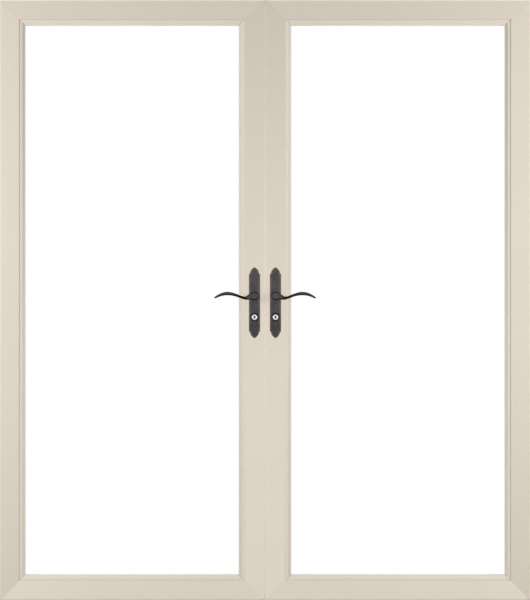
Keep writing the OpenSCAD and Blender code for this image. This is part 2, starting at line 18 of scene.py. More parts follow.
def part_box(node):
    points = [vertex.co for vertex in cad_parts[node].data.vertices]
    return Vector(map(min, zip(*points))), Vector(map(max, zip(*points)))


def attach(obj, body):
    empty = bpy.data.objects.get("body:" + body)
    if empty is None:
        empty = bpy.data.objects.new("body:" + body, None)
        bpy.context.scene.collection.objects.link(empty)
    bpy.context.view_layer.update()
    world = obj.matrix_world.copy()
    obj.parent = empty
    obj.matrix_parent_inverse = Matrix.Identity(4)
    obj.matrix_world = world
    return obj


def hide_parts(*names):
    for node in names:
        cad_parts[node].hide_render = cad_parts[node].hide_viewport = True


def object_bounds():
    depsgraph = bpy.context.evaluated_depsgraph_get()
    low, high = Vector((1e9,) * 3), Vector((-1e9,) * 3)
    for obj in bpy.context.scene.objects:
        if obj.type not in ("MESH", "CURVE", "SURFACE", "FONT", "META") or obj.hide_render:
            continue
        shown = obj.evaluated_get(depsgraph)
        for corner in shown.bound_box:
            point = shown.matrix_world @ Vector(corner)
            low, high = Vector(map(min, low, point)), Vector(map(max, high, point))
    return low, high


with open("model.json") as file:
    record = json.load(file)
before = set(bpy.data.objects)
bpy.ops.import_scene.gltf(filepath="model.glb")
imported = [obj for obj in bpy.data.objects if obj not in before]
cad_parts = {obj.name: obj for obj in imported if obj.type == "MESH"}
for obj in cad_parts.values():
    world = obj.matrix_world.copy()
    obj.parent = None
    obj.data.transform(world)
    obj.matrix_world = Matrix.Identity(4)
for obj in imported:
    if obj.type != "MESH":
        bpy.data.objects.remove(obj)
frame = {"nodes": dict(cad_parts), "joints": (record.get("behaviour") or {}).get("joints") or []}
nodes = frame["nodes"]
cad_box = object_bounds()
SIDES = {"left": -1, "right": 1}
axes = {joint["name"]: Vector(joint["pos_m"]) for joint in frame["joints"] if "pos_m" in joint}
lever_axis = axes["left_lever_lift"]
key_axis = axes["left_key_turn"]
print(len(nodes), "solids loaded, box", [tuple(round(v, 3) for v in c) for c in cad_box])

# %% [markdown]
# ## Camera
# The picture is cut a hair inside the outline of the two leaves, and it is taken from far
# away and straight in front, so that the stiles stay parallel. A long lens at 30 metres
# does that. The leaves' own solids say where their outline is, so the lens is worked out
# from their height instead of by eye.

# %% Aim the camera at the two leaves
PICTURE_ROWS = 600
SENSOR_MM = 36.0
DISTANCE = 30.0
SIGHT_END = 200.0
# What the cut takes off the leaves' height, top and foot together
HAIR = 0.0015
# Turns what is drawn flat on the floor to stand facing the front
FACING_FRONT = (math.radians(90), 0, 0)
leaf_low, leaf_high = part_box("left_hinge_stile")
leaf_front = leaf_low.y
picture_h = leaf_high.z - leaf_low.z - HAIR

lens = bpy.data.cameras.new("front_view")
lens.sensor_fit = "VERTICAL"
lens.sensor_height = SENSOR_MM
lens.lens = SENSOR_MM * DISTANCE / picture_h
lens.clip_end = SIGHT_END
camera = bpy.data.objects.new("front_view", lens)
camera.location = (0.0, leaf_front - DISTANCE, (leaf_low.z + leaf_high.z) / 2)
camera.rotation_euler = FACING_FRONT
bpy.context.scene.collection.objects.link(camera)
bpy.context.scene.camera = camera
pixel_mm = 1000 * picture_h / PICTURE_ROWS
print("lens", round(lens.lens, 1), "mm, one pixel is", round(pixel_mm, 3), "mm")

# %% [markdown]
# ## Shader arithmetic
# A finish is mostly sums: a noise times a share, plus a mask. Wiring each sum by hand
# hides the idea, so one small class wraps a socket and lets Python's own operators add
# the Math nodes. Every other node comes from `Finish.node`, which sets the node's
# options first and then its sockets.

# %% A socket that can be added and multiplied
class Wire:
    def __init__(self, finish, socket):
        self.finish = finish
        self.socket = socket

    def maths(self, operation, *terms):
        return self.finish.node("ShaderNodeMath", {"operation": operation}, dict(enumerate(terms)))

    def __add__(self, other):
        return self.maths("ADD", self, other)

    def __radd__(self, other):
        return self.maths("ADD", other, self)

    def __sub__(self, other):
        return self.maths("SUBTRACT", self, other)

    def __rsub__(self, other):
        return self.maths("SUBTRACT", other, self)

    def __mul__(self, other):
        return self.maths("MULTIPLY", self, other)

    def __rmul__(self, other):
        return self.maths("MULTIPLY", other, self)

    def __truediv__(self, other):
        return self.maths("DIVIDE", self, other)

    def __pow__(self, other):
        return self.maths("POWER", self, other)

    def __abs__(self):
        return self.maths("ABSOLUTE", self)

    def least(self, other):
        return self.maths("MINIMUM", self, other)

    def most(self, other):
        return self.maths("MAXIMUM", self, other)

    def sine(self):
        return self.maths("SINE", self)

    def rise(self, low, high):
        """0 below low, 1 above high and a smooth rise between them."""
        return self.finish.node(
            "ShaderNodeMapRange", {"interpolation_type": "SMOOTHSTEP"},
            {"Value": self, "From Min": low, "From Max": high})

    def fall(self, low, high):
        """1 below low, 0 above high and a smooth fall between them."""
        return 1 - self.rise(low, high)


print("sums, products and smooth steps can be written as Python")

# %% A finish and the nodes it is made of
class Finish:
    """The nodes of a new material, or of another owner such as the world."""

    def __init__(self, name, owner=None, shader="Principled BSDF"):
        self.material = owner or bpy.data.materials.new(name)
        self.material.use_nodes = True
        self.tree = self.material.node_tree
        self.shader = self.tree.nodes[shader]

    def node(self, kind, options=None, inputs=None, out=0):
        node = self.tree.nodes.new(kind)
        for name, value in (options or {}).items():
            setattr(node, name, value)
        for name, value in (inputs or {}).items():
            self.feed(node.inputs[name], value)
        return Wire(self, node.outputs[out])

    def feed(self, socket, value):
        if isinstance(value, Wire):
            self.tree.links.new(value.socket, socket)
        else:
            socket.default_value = value

    def set(self, **sockets):
        """Feeds the main shader: Base_Color=..., Roughness=... and so on."""
        for name, value in sockets.items():
            self.feed(self.shader.inputs[name.replace("_", " ")], value)

    def place(self):
        """Where the point lies in the scene, as x, y and z."""
        return self.split(self.node("ShaderNodeTexCoord", out="Object"))

    def facing(self):
        """The surface's own direction, as x, y and z."""
        return self.split(self.node("ShaderNodeTexCoord", out="Normal"))

    def split(self, vector):
        parts = self.node("ShaderNodeSeparateXYZ", inputs={0: vector}).socket.node
        return [Wire(self, socket) for socket in parts.outputs]

    def noise(self, scale, detail=2.0, stretch=(1, 1, 1), rough=0.5):
        where = self.node("ShaderNodeTexCoord", out="Object")
        stretched = self.node("ShaderNodeMapping", inputs={"Vector": where, "Scale": stretch})
        return self.node("ShaderNodeTexNoise", inputs={
            "Vector": stretched, "Scale": scale, "Detail": detail, "Roughness": rough})

    def mix(self, share, first, second, blend="MIX"):
        return self.node(
            "ShaderNodeMix", {"data_type": "RGBA", "blend_type": blend},
            {0: share, 6: first, 7: second}, out=2)

    def tinted(self, colour, tone):
        """A plain colour made lighter or darker by a tone."""
        grey = self.node("ShaderNodeCombineXYZ", inputs={0: tone, 1: tone, 2: tone})
        return self.mix(1.0, rgb(*colour), grey, "MULTIPLY")

    def bump(self, height, depth):
        """Depth in metres of a height that runs from 0 to 1."""
        self.set(Normal=self.node(
            "ShaderNodeBump", inputs={"Height": height, "Distance": depth, "Strength": 1.0}))


def rgb(red, green, blue):
    return (red, green, blue, 1.0)


def shade(colour, share):
    return rgb(*(share * part for part in colour))


def choose(which, when_0, when_1):
    """One value where the mask is 0 and another where it is 1."""
    return when_0 + which * (when_1 - when_0)


print("shader arithmetic ready")

# %% [markdown]
# ## Almond vinyl
# The leaves and the frame are hollow vinyl extrusions, mitred and welded at the corners.
# An extrusion carries faint lines drawn along its length by the die, so a stile is lined
# upright and a rail sideways. One finish can serve a whole leaf: a point belongs to a rail
# when it lies nearer to the top or foot of the leaf than to its sides, and where the two
# distances are equal runs the weld. Each member's tone is painted lighter or darker from end
# to end, with a swell between, as painted light and shade along it. Slow mottling, a fine
# orange peel and some dust at the foot keep the broad faces from looking flat. A painted
# highlight pales the top and hinge edges, and a painted shadow darkens the foot edge. On the
# upright beads a painted highlight marks a roll beside the face, and painted shade darkens
# the seam and the hollow on either side of it, most of all high up on the hinge side.

# %% Where a leaf is welded and dusty, and where light and shade are painted on it
ALMOND, DUST_GREY = (0.705, 0.640, 0.545), (0.47, 0.42, 0.35)
# Distances from a mitre, from a leaf's edges and up from the floor
MITRE, WELD = 0.0001, (0.0003, 0.0011)
SIDE_EDGE, END_EDGE = (0.0012, 0.0036), (0.0030, 0.0046)
DUSTY = (0.03, 0.40)
# Across a bead: how far in the face of the leaf ends, and what follows from that seam
FACE, SEAM = 0.0635, (0.0008, 0.0034)
# The roll's painted highlight and the hollow's painted shade lie at these distances from the seam
ROLL, MEETING_HOLLOW, HINGE_HOLLOW, CURVE = 0.0062, 0.0120, 0.0148, (0.0010, 0.0050)
# Shares of the leaf's width or height
HALFWAY, SHADED_HIGH = (0.49, 0.51), (0.30, 0.95)
# The die's lines are packed close across a length and drawn out along it
UPRIGHT, SIDEWAYS = (260.0, 260.0, 0.6), (0.6, 260.0, 260.0)
# How deep the finest unevenness of a skin is
SKIN = 0.00004


def light_and_shade_along(member, share):
    """Painted light and shade from a member's first end to its last, with a swell between them."""
    first, last, swell = member
    return first + (last - first) * share + 4 * swell * share * (1 - share)


def bead_light_and_shade(from_face, hinge_side, up):
    """How much an upright bead is painted paler or darker than its member, as light and shade."""
    meeting_side = 1 - hinge_side
    # A painted highlight on the roll, and painted shade in the hollow and at the seam, most high
    # up on the hinge side
    shaded_high = hinge_side * up.rise(*SHADED_HIGH)
    roll = abs(from_face - ROLL).fall(*CURVE)
    hollow = abs(from_face - choose(hinge_side, MEETING_HOLLOW, HINGE_HOLLOW)).fall(*CURVE)
    hollow_shade = 0.03 + 0.06 * meeting_side + 0.22 * shaded_high
    seam_shade = meeting_side * (0.22 - 0.12 * up) + 0.15 * shaded_high
    return 0.14 * roll - hollow_shade * hollow - seam_shade * from_face.fall(*SEAM)


print("a bead's roll lies", 1000 * ROLL, "mm from its seam")

# %% Finish for a mitred vinyl frame
def vinyl(name, low, high, light_and_shade_ends, rubbed=0.0, moulded=0.0):
    """Low and high are the corners of the right-hand leaf. The table after them holds
    each member's tone at its two ends and the swell between them, painted light and shade
    along it: stiles run from foot to top, and rails from the meeting edge to the hinge edge.
    The two shares that follow are those of the painted highlight and shadow on the leaf's
    edges and of the painted highlight and shade across the beads."""
    finish = Finish(name)
    x, _, z = finish.place()
    from_meeting, from_hinge = abs(x) - low[0], high[0] - abs(x)
    from_foot, from_top = z - low[1], high[1] - z
    to_side, to_end = from_hinge.least(from_meeting), from_foot.least(from_top)
    rail = (to_end - to_side).fall(-MITRE, MITRE)
    along, up = from_meeting / (high[0] - low[0]), from_foot / (high[1] - low[1])
    hinge_side = along.rise(*HALFWAY)
    # Painted light and shade: each member grows lighter or darker from end to end
    stile_tone = choose(hinge_side, light_and_shade_along(light_and_shade_ends["meeting"], up), light_and_shade_along(light_and_shade_ends["hinge"], up))
    rail_tone = choose(
        up.rise(*HALFWAY), light_and_shade_along(light_and_shade_ends["foot"], along), light_and_shade_along(light_and_shade_ends["top"], along))
    die = choose(rail, finish.noise(2.2, 3.0, UPRIGHT), finish.noise(2.2, 3.0, SIDEWAYS))
    weld = abs(to_end - to_side).fall(*WELD)
    mottle = finish.noise(3.1, 3.0)
    peel = finish.noise(900.0, 2.0)
    dust = z.fall(*DUSTY) * finish.noise(11.0, 4.0)
    # Painted highlight along the top and hinge edges, and painted shadow along the foot edge
    edge_light_and_shadow = from_hinge.fall(*SIDE_EDGE).most(1.3 * from_top.fall(*END_EDGE))
    edge_light_and_shadow = edge_light_and_shadow - 0.40 * from_foot.fall(*END_EDGE)
    # Painted highlight and shade across the upright beads
    bead = (1 - rail) * bead_light_and_shade(to_side.least(to_end) - FACE, hinge_side, up)
    tone = choose(rail, stile_tone, rail_tone) * (1 + rubbed * edge_light_and_shadow + moulded * bead)
    tone = tone * (0.960 + 0.040 * mottle + 0.024 * die + 0.016 * peel) * (1 - 0.07 * weld)
    finish.set(
        Base_Color=finish.mix(dust * 0.05, finish.tinted(ALMOND, tone), rgb(*DUST_GREY)),
        Roughness=0.33 + 0.12 * die + 0.06 * mottle + 0.10 * dust,
        IOR=1.5)
    finish.bump(0.7 * die + 0.25 * peel - 0.6 * weld, SKIN)
    return finish.material


meeting_edge = -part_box("left_meeting_stile")[1].x
leaf_corners = ((meeting_edge, leaf_low.z), (-leaf_low.x, leaf_high.z))
# The frame has no meeting edge, so its low corner is put on the left-hand side
frame_corners = ((-cad_box[1].x, cad_box[0].z), (cad_box[1].x, cad_box[1].z))
# Each member's painted light and shade at its two ends, and the swell between them
leaf_vinyl = vinyl("almond_vinyl_leaf", *leaf_corners, {
    "hinge": (0.99, 1.02, 0.05), "meeting": (1.22, 0.97, 0.06),
    "foot": (1.18, 1.17, 0.0), "top": (1.02, 1.00, 0.01)}, rubbed=0.30)
bead_vinyl = vinyl("almond_vinyl_bead", *leaf_corners, {
    "hinge": (1.07, 0.99, 0.04), "meeting": (1.04, 1.05, 0.0),
    "foot": (1.14, 1.14, 0.0), "top": (1.10, 1.08, 0.01)}, moulded=1.0)
frame_vinyl = vinyl("almond_vinyl_frame", *frame_corners, {
    "hinge": (0.99, 1.01, 0.02), "meeting": (1.01, 0.99, 0.02),
    "foot": (1.0, 1.02, 0.0), "top": (0.98, 0.96, 0.0)})
print("vinyl for the leaves, the beads and the frame")

# %% [markdown]
# ## Dark bronze
# The handles are castings in an oil-rubbed bronze. The flats are a cloudy charcoal. Black is
# painted shade where the lever's head turns away from the front, as round its rim, and on
# the lever's lower facet. The rose, the collar and the thin start of the blade are black as
# well. Brown shows on the plate's sloped border and on the lever's upper facet, where a hand
# holds it: rubbed bronze, and a painted highlight where these face the light. The surface's
# own direction tells most of these places apart, and the distance from the lever's or the
# key's axis tells the rest.

# %% Which parts of a handle are black and painted shade, and which are rubbed and lit brown
# Distances from an axis: where rose and collar end, where the blade starts, where it is held
RING_END = (0.0136, 0.0142)
BLADE_START, HELD = (0.018, 0.034), (0.045, 0.090)


def round_axis(finish, axis):
    """Distance from an axis along y, on either leaf, with its two parts."""
    x, _, z = finish.place()
    across, above = abs(abs(x) - abs(axis.x)), abs(z - axis.z)
    return (across * across + above * above) ** 0.5, across, above


def plate_sorts(finish, facing):
    forward = abs(facing[1])
    from_lever, from_key = (round_axis(finish, axis)[0] for axis in (lever_axis, key_axis))
    ring = from_lever.least(from_key).fall(*RING_END)
    # Brown where the border slopes away from the front: rubbed bronze, and a painted highlight
    return ring, forward.fall(0.72, 0.97) * (1 - ring)


def lever_sorts(finish, facing):
    forward, upward = abs(facing[1]), facing[2]
    from_lever = round_axis(finish, lever_axis)[0]
    blade, held = from_lever.rise(*BLADE_START), from_lever.rise(*HELD)
    # Held parts that don't face down are spared the painted shade
    held_and_lit = held * upward.rise(-0.75, -0.25)
    # Painted shade: black where the head turns away, and on the blade except held parts not facing
    # down
    black = forward.fall(0.62, 0.97) * (1 - blade) + blade * (1 - held_and_lit)
    # Brown on held parts that face up: rubbed bronze, and a painted highlight on the upper facet
    return black, held * upward.rise(-0.10, 0.35)


print("rose and collar stay black to", 1000 * RING_END[0], "mm from their axes")

# %% Finishes for the plates and the levers
# Black for the oil, and for painted shade on the lever
OIL_BLACK_AND_SHADE = (0.010, 0.009, 0.009)
WARM_SHEEN = (0.8, 0.7, 0.6)
# Below the key the charcoal is darker
PALER_UP = (key_axis.z - 0.035, key_axis.z + 0.020)


def bronze(name, charcoal, brown, gloss, sorts):
    """Sorts gives the shares of black, partly painted shade, and of rubbed brown, partly a
    painted highlight, from the surface's direction.
    """
    finish = Finish(name)
    cloud = finish.noise(42.0, 4.0, rough=0.6)
    grain = finish.noise(1500.0, 2.0)
    black, rubbed = sorts(finish, finish.facing())
    _, _, level = finish.place()
    paler = 0.6 * cloud.rise(0.34, 0.68) + 0.4 * level.rise(*PALER_UP)
    flat = finish.mix(paler, shade(charcoal, 0.72), shade(charcoal, 1.28))
    # The black mixed in here is partly painted shade
    oiled_and_shaded = finish.mix(black, flat, rgb(*OIL_BLACK_AND_SHADE))
    # Patchy brown: rubbed bronze, and in part a painted highlight
    patchy = rubbed * (0.6 + 0.4 * cloud.rise(0.35, 0.65))
    finish.set(
        Base_Color=finish.mix(patchy, oiled_and_shaded, rgb(*brown)),
        Metallic=0.60, Specular_Tint=shade(WARM_SHEEN, gloss), Specular_IOR_Level=gloss,
        Roughness=0.38 + 0.16 * cloud + 0.06 * grain)
    finish.bump(0.7 * grain + 0.3 * cloud, SKIN)
    return finish.material


plate_bronze = bronze(
    "rubbed_bronze_plate", charcoal=(0.076, 0.071, 0.071), brown=(0.140, 0.104, 0.096),
    gloss=0.25, sorts=plate_sorts)
lever_bronze = bronze(
    "rubbed_bronze_lever", charcoal=(0.074, 0.072, 0.072), brown=(0.102, 0.050, 0.038),
    gloss=0.12, sorts=lever_sorts)
print("bronze for plates and levers")

# %% [markdown]
# ## Bright and plain metals
# The key cylinder is satin chrome, turned on a lathe, so its face carries fine rings
# about its own axis. Their radius comes from the distance to that axis, and one formula
# serves both leaves because x is taken without its sign. A painted reflection turns the
# face cool blue along its diagonals, and the face is darker towards its rim. Keys have
# worn the chrome off round the keyway, so the plug's brass shows there, painted dark as
# the shade of a sunk entry, and the brass inside the keyway is painted dark as shade in the
# slot. Lock, rods and keepers are zinc-plated steel, and the tread is drawn aluminium with
# lines along the sill.

# %% Finish for the key cylinder
# Chrome, a cool blue for a painted reflection, and a darker grey for the face's rim
CHROME, REFLECTED_BLUE, DARKER_RIM = (0.86, 0.87, 0.90), (0.62, 0.70, 0.80), (0.24, 0.26, 0.29)
# Brass worn bare round the keyway and brass inside it, both painted dark as shade
WORN_SHADED_BRASS, SHADED_BRASS = (0.17, 0.125, 0.085), (0.10, 0.055, 0.025)
LATHE_LINES, LATHE_DEPTH = 9000.0, 0.000006
# Half sizes of the keyway and of the worn patch round it, painted dark as shade, and where
# the face turns darker towards its rim
KEYWAY_SIDE, KEYWAY_END = (0.0019, 0.0022), (0.0042, 0.0046)
WORN_W, WORN_H = 0.0037, 0.0050
RIM_START = (0.0080, 0.0094)
# Where the plug's face ends and the keyway's floor starts, along y
plug_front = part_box("left_key_plug")[0].y
PLUG_FACE = (plug_front + 0.0003, plug_front + 0.0016)
KEYWAY_FLOOR = (leaf_front + 0.002, leaf_front + 0.006)


def chrome():
    finish = Finish("satin_chrome")
    _, y, _ = finish.place()
    radius, across, above = round_axis(finish, key_axis)
    rings = (radius * LATHE_LINES).sine() * 0.5 + 0.5
    smear = finish.noise(160.0, 3.0)
    # Inside the keyway the brass is painted dark, as shade in the slot
    keyway = across.fall(*KEYWAY_SIDE) * above.fall(*KEYWAY_END)
    keyway = keyway * y.rise(*PLUG_FACE) * y.fall(*KEYWAY_FLOOR)
    # Worn brass round the keyway, painted dark as the shade of a sunk entry
    patch = (across / WORN_W) ** 2.0 + (above / WORN_H) ** 2.0
    worn_and_shaded = patch.fall(0.50, 1.20) * y.fall(*PLUG_FACE)
    # Painted reflection: cool blue along the face's diagonals, away from its middle
    diagonal = across * above / (radius * radius) * 2.0
    blue_reflection = diagonal.rise(0.35, 0.95) * radius.rise(0.003, 0.008)
    face = finish.mix(blue_reflection, rgb(*CHROME), rgb(*REFLECTED_BLUE))
    # The face is darker towards its rim
    face = finish.mix(radius.rise(*RIM_START), face, rgb(*DARKER_RIM))
    face = finish.mix(0.9 * worn_and_shaded, face, rgb(*WORN_SHADED_BRASS))
    finish.set(
        Base_Color=finish.mix(keyway, face, rgb(*SHADED_BRASS)),
        Metallic=1.0,
        Roughness=0.16 + 0.10 * smear + 0.05 * rings + 0.25 * keyway + 0.15 * worn_and_shaded)
    finish.bump(rings, LATHE_DEPTH)
    return finish.material


key_chrome = chrome()
print("chrome for the keys, with brass showing", 2000 * WORN_H, "mm high round the keyway")

# %% Finishes for steel and aluminium
def drawn_metal(name, colour, stretch, rough):
    """Stretch packs the lines across the way that the metal was drawn."""
    finish = Finish(name)
    lines = finish.noise(3.0, 3.0, stretch)
    bloom = finish.noise(45.0, 4.0)
    finish.set(
        Base_Color=finish.tinted(colour, 0.88 + 0.12 * lines + 0.08 * bloom),
        Metallic=1.0,
        Roughness=rough + 0.14 * lines + 0.10 * bloom)
    finish.bump(lines, SKIN / 2)
    return finish.material


zinc_steel = drawn_metal(
    "zinc_plated_steel", (0.56, 0.57, 0.57), stretch=(300.0, 300.0, 2.0), rough=0.28)
tread_aluminium = drawn_metal(
    "drawn_aluminium", (0.66, 0.66, 0.65), stretch=(1.0, 420.0, 420.0), rough=0.26)
print("steel and aluminium")

# %% [markdown]
# ## Seals, blocks, hinge coat and glass
# The seals are soft strips coloured to go with the vinyl, so they are matt and slightly
# powdery. The pair between the leaves is the palest, so the meeting line shows light, and
# painted shade darkens it a little near the top. The hinges wear an almond powder coat, which
# has a tight pebble. The glass is clear float glass, and a trace of smear in its roughness is
# all that marks its surface.

# %% Finishes for the rest
# Between these heights painted shade sets in
SHADED_HEIGHTS = (1.1, 1.9)


def matt(name, colour, rough, pebble, depth, top_shade=0.0):
    """The last share is that of painted shade near the top of the doors."""
    finish = Finish(name)
    grain = finish.noise(pebble, 2.0)
    bloom = finish.noise(20.0, 4.0)
    _, _, z = finish.place()
    tone = (0.90 + 0.10 * bloom + 0.08 * grain) * (1 - top_shade * z.rise(*SHADED_HEIGHTS))
    finish.set(Base_Color=finish.tinted(colour, tone), Roughness=rough + 0.12 * bloom)
    finish.bump(grain, depth)
    return finish.material


def float_glass():
    finish = Finish("float_glass")
    smear = finish.noise(6.0, 4.0, (1.0, 1.0, 0.4))
    finish.set(
        Base_Color=rgb(1.0, 1.0, 1.0), Roughness=0.012 * smear.rise(0.5, 0.8),
        Transmission_Weight=1.0, IOR=1.45)
    return finish.material


seal_rubber = matt(
    "soft_almond_seal", (0.70, 0.64, 0.56), rough=0.62, pebble=900.0, depth=0.00004)
meeting_rubber = matt(
    "pale_meeting_seal", (0.86, 0.815, 0.742), rough=0.60, pebble=900.0, depth=0.00004,
    top_shade=0.10)
block_plastic = matt(
    "moulded_block", (0.075, 0.075, 0.08), rough=0.48, pebble=600.0, depth=0.00003)
hinge_coat = matt(
    "almond_powder_coat", (0.70, 0.635, 0.545), rough=0.34, pebble=1400.0, depth=0.00005)
clear_glass = float_glass()
print("seals, blocks, hinge coat and glass")

# %% [markdown]
# ## Dressing the solids
# Each solid takes the finish of what it is made of. A CAD edge is perfectly sharp, and an
# extruded or stamped one never is. A weld joins the loose triangles, those in one plane are
# dissolved into whole faces, and a fine bevel then rounds the edges so that they catch
# a line of light. A bevel on the bare triangles would fold the thin ones round a hole.
# All of these stay as modifiers, so the solids themselves are left alone. The panes must let
# the lamps through, and the light is even enough that the hinges and keys leave no shadow on
# the stiles, nor the rails and meeting stiles in the narrow seams beside them.

# %% Give every solid its finish
FINISHES = {
    "head": frame_vinyl, "sill": frame_vinyl, "jamb": frame_vinyl, "top_rail": leaf_vinyl,
    "bottom_rail": leaf_vinyl, "hinge_stile": leaf_vinyl, "meeting_stile": leaf_vinyl,
    "glazing_beads": bead_vinyl, "sill_tread": tread_aluminium, "spacer": tread_aluminium,
    "head_keepers": zinc_steel, "spindle": zinc_steel, "pinion": zinc_steel,
    "lock_case": zinc_steel, "top_rod": zinc_steel, "bottom_rod": zinc_steel,
    "stop_seal": seal_rubber, "glazing_gaskets": seal_rubber, "meeting_seal": meeting_rubber,
    "setting_blocks": block_plastic, "frame_hinge_leaves": hinge_coat,
    "leaf_hinge_leaves": hinge_coat, "hinge_pins": hinge_coat, "key_cylinder": key_chrome,
    "key_plug": key_chrome, "front_pane": clear_glass, "back_pane": clear_glass,
    "front_plate": plate_bronze, "back_plate": plate_bronze, "front_lever": lever_bronze,
    "back_lever": lever_bronze,
}
SHADOWLESS = ("front_pane", "back_pane", "top_rail", "bottom_rail", "meeting_stile")
for name, solid in nodes.items():
    kind = name.split("_", 1)[1] if name.split("_")[0] in SIDES else name
    for slot in solid.material_slots:
        slot.material = FINISHES[kind]
    if kind in SHADOWLESS:
        solid.visible_shadow = False
    if FINISHES[kind] in (key_chrome, hinge_coat):
        solid.visible_shadow = solid.visible_diffuse = False
print(len(nodes), "solids dressed in", len(set(FINISHES.values())), "finishes")

# %% Give every solid its fine edges
# Points nearer than this are one point
TOUCHING = 1e-6
FLAT, CORNER = math.radians(0.5), math.radians(40)
EDGE_WIDTH = 0.0006
for solid in nodes.values():
    solid.modifiers.new("join_triangles", "WELD").merge_threshold = TOUCHING
    flats = solid.modifiers.new("whole_faces", "DECIMATE")
    flats.decimate_type, flats.angle_limit = "DISSOLVE", FLAT
    edges = solid.modifiers.new("fine_edges", "BEVEL")
    edges.width, edges.segments = EDGE_WIDTH, 2
    edges.limit_method, edges.angle_limit = "ANGLE", CORNER
    even = solid.modifiers.new("even_shading", "WEIGHTED_NORMAL")
    even.mode, even.weight = "FACE_AREA", 100
print("edges rounded by", 1000 * EDGE_WIDTH, "mm")

# %% [markdown]
# ## Modelling by hand, in code
# The handles are modelled as they would be in the viewport: a primitive is added, and
# then extruded, inset and scaled in edit mode. An operator acts on whatever is selected,
# so these helpers start from a clean selection and pick points by where they are.

# %% Helpers for edit mode
def start(add, name, **settings):
    """Adds a primitive and goes into edit mode on it."""
    bpy.ops.object.select_all(action="DESELECT")
    add(**settings)
    piece = bpy.context.object
    piece.name = piece.data.name = name
    bpy.ops.object.mode_set(mode="EDIT")
    bpy.ops.mesh.select_mode(type="VERT")
    return piece


def places(piece):
    """Where the points of the piece lie in the scene."""
    return [piece.matrix_world @ point.co for point in bmesh.from_edit_mesh(piece.data).verts]


def pick(piece, test):
    """Selects the points whose place in the scene passes the test."""
    mesh = bmesh.from_edit_mesh(piece.data)
    for point in mesh.verts:
        point.select = bool(test(piece.matrix_world @ point.co))
    mesh.select_flush_mode()
    bmesh.update_edit_mesh(piece.data)


def push(x=0.0, y=0.0, z=0.0):
    bpy.ops.mesh.extrude_region_move(TRANSFORM_OT_translate={"value": (x, y, z)})


def scale(about, x=1.0, y=1.0, z=1.0):
    bpy.ops.transform.resize(value=(x, y, z), center_override=about)


def close(piece):
    """Leaves edit mode with the normals outwards and the place in the mesh."""
    bpy.ops.mesh.select_all(action="SELECT")
    bpy.ops.mesh.remove_doubles(threshold=TOUCHING)
    bpy.ops.mesh.normals_make_consistent(inside=False)
    bpy.ops.object.mode_set(mode="OBJECT")
    bpy.ops.object.transform_apply(location=True, rotation=True, scale=True)
    return piece


print("edit-mode helpers ready")

# %% Helpers for whole pieces
SMOOTH_BELOW = math.radians(38)


def select_only(piece):
    bpy.ops.object.select_all(action="DESELECT")
    piece.select_set(True)
    bpy.context.view_layer.objects.active = piece


def duplicate(piece):
    select_only(piece)
    bpy.ops.object.duplicate()
    return bpy.context.object


def finish_with(piece, kind, **settings):
    """Adds one modifier, sets it and applies it."""
    modifier = piece.modifiers.new(kind.lower(), kind)
    for name, value in settings.items():
        setattr(modifier, name, value)
    bpy.context.view_layer.objects.active = piece
    bpy.ops.object.modifier_apply(modifier=modifier.name)


def soften(piece, width, corner):
    """Rounds the edges that are sharper than the corner, in degrees."""
    finish_with(piece, "BEVEL", width=width, segments=2, limit_method="ANGLE",
                angle_limit=math.radians(corner))


def join(pieces, name):
    select_only(pieces[0])
    for piece in pieces:
        piece.select_set(True)
    bpy.ops.object.join()
    pieces[0].name = pieces[0].data.name = name
    return pieces[0]


def dress(piece, coat, body):
    """Shades a finished piece, gives it its finish and lets it ride on its body."""
    select_only(piece)
    bpy.ops.object.shade_smooth_by_angle(angle=SMOOTH_BELOW)
    piece.data.materials.clear()
    piece.data.materials.append(coat)
    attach(piece, body)


print("helpers for whole pieces ready")

# %% Helper for lathe work
def turned(name, axis, stations, hollow=False, sides=64):
    """A piece turned about an axis along y: a circle pushed through stations, each a radius
    and a height above the leaf in millimetres."""
    rings = [(radius / 1000, leaf_front - height / 1000) for radius, height in stations]
    radius, y = rings[0]
    piece = start(
        bpy.ops.mesh.primitive_circle_add, name, vertices=sides, radius=radius,
        fill_type="NOTHING", location=(axis.x, y, axis.z), rotation=FACING_FRONT)
    bpy.ops.mesh.select_all(action="SELECT")
    for next_radius, next_y in rings[1:]:
        push(y=next_y - y)
        scale((axis.x, next_y, axis.z), next_radius / radius, 1.0, next_radius / radius)
        radius, y = next_radius, next_y
    ends = (rings[0], rings[-1])
    if hollow:
        pick(piece, lambda p: any(
            abs(p.y - end_y) < TOUCHING
            and abs(math.hypot(p.x - axis.x, p.z - axis.z) - end_radius) < TOUCHING
            for end_radius, end_y in ends))
        bpy.ops.mesh.bridge_edge_loops()
    else:
        for _, end_y in ends:
            pick(piece, lambda p: abs(p.y - end_y) < TOUCHING)
            bpy.ops.mesh.edge_face_add()
    return close(piece)


print("lathe ready")

# %% [markdown]
# ## Backplate
# The long plate has straight sides, a small step at each shoulder and a pointed arch
# with a rounded tip at each end. It is drawn as one flat face: the end edge is pushed out
# and scaled, station by station, up the arch. Inset with a depth then raises the middle
# and leaves the sloped border all round. A dished rose for the lever and a collar for
# the key cylinder are turned pieces that sit on it.

# %% Model the left front plate
plate_low, plate_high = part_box("left_front_plate")
plate_mid = Vector((lever_axis.x, leaf_front, (plate_low.z + plate_high.z) / 2))
half_w = (plate_high.x - plate_low.x) / 2
half_h = (plate_high.z - plate_low.z) / 2
# Half width and distance from the tip, up each arch
ARCH = [
    (0.0150, 0.0203), (0.0145, 0.0170), (0.0138, 0.0140), (0.0125, 0.0110), (0.0107, 0.0080),
    (0.0081, 0.0052), (0.0058, 0.0028), (0.0045, 0.0017), (0.0033, 0.0008), (0.0018, 0.0),
]
# Distance of the shoulder's step from the tip
STEP = 0.0212
